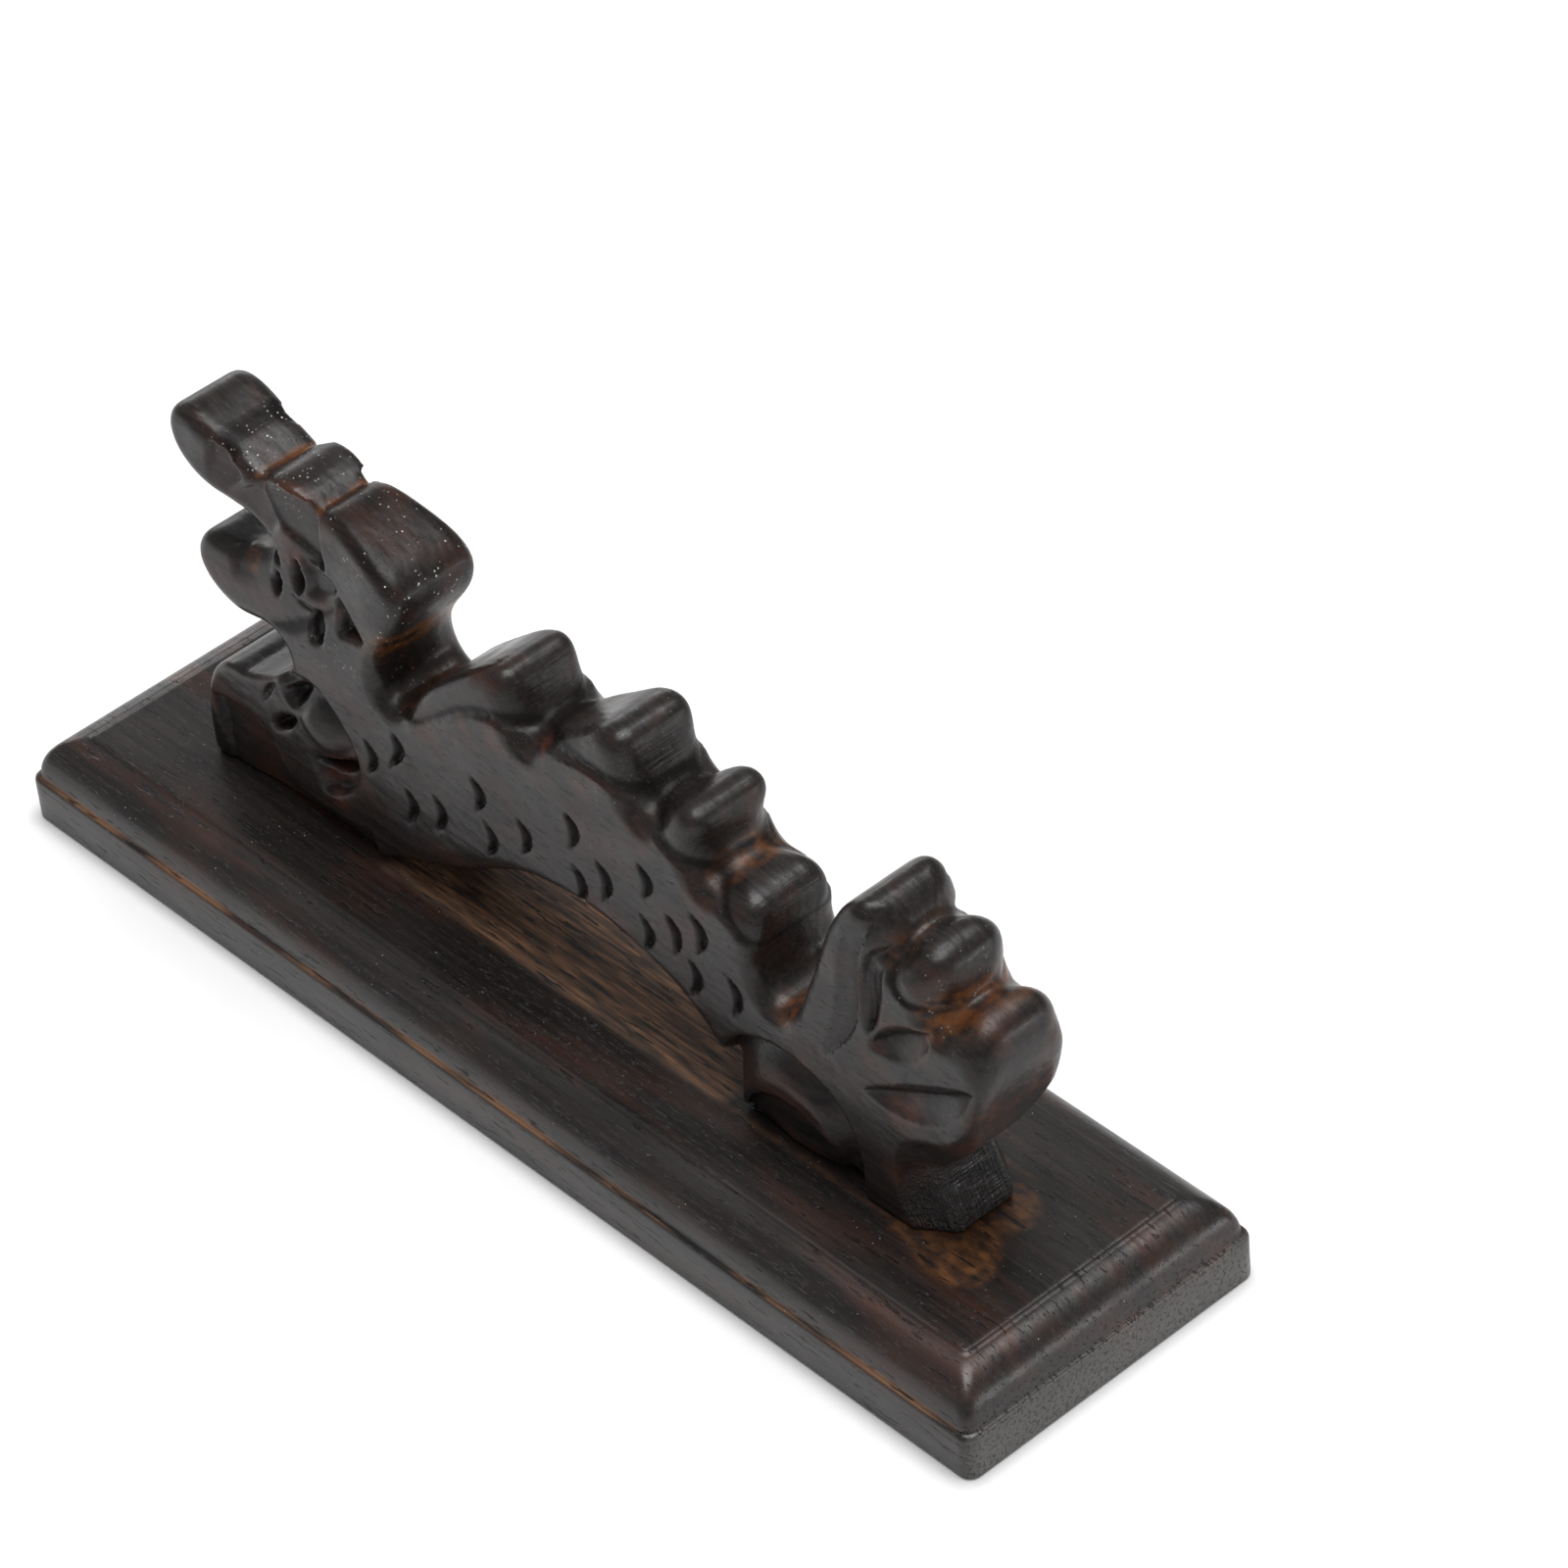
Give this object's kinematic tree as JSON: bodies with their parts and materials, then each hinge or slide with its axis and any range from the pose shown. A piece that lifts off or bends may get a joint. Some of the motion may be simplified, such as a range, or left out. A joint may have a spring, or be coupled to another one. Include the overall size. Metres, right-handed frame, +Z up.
{
  "type": "carved dragon display rest",
  "caption": "Low display rest: a flat dragon carved in dark wood stands along a moulded board; the hollows behind its head and before its tail cradle a rod-like object.",
  "frame": {"origin": "middle of the board's underside, on the surface it stands on", "axes": "+X along the board from the dragon's head to its tail, +Y across the board, +Z up"},
  "size_m": [0.18, 0.0484, 0.069],
  "materials": {
    "board_wood": "thin dark stain and satin wax, rubbed through to brown in places",
    "dragon_wood": "semi-gloss dark stain and polish over open-pored wood, saw marks left in the valleys",
    "screw_steel": "zinc-plated, dull"
  },
  "bodies": {
    "root": {"base_board": "board_wood", "dragon": "dragon_wood", "foot_screws": "screw_steel"}
  },
  "joints": []
}
